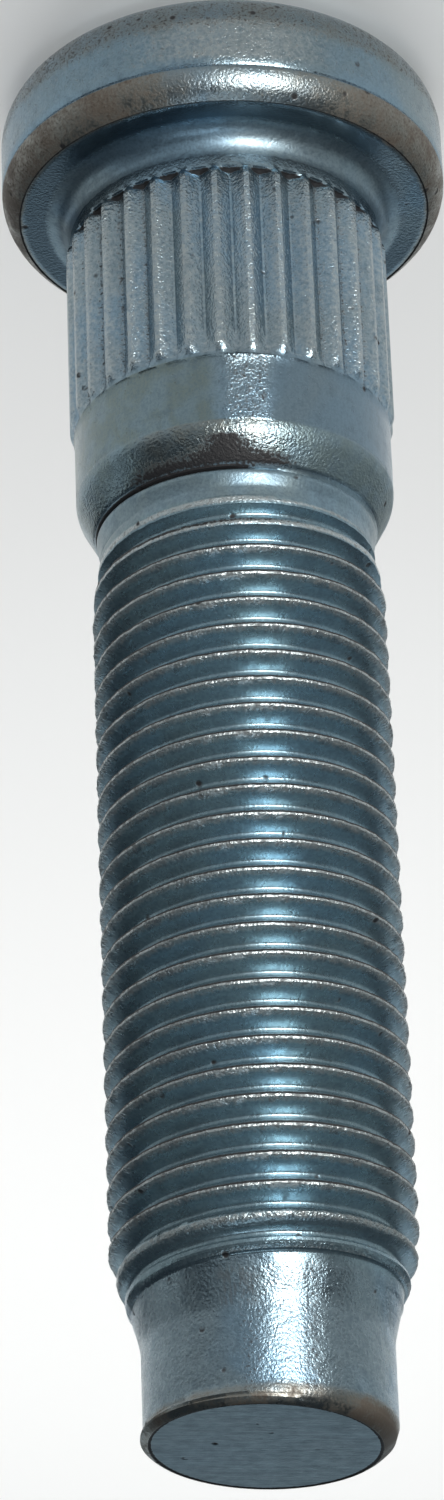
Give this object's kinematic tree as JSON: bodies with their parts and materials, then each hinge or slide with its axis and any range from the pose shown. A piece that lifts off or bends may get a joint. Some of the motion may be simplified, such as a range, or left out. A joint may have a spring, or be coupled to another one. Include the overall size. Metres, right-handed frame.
{
  "type": "wheel stud",
  "caption": "Press-in wheel stud with a round head, a serrated band, a smooth collar, a fine thread and a plain dog point; it holds a wheel to a hub.",
  "frame": {"origin": "centre of the head's outer face, on the surface that the stud stands on", "axes": "+Z along the stud's axis, from the head to the dog point"},
  "size_m": [0.0198, 0.0198, 0.0648],
  "materials": {
    "zinc_plated_steel": "blue-clear zinc plating, handled, with brown wear on the edges"
  },
  "bodies": {
    "root": {"wheel_stud": "zinc_plated_steel"}
  },
  "joints": []
}
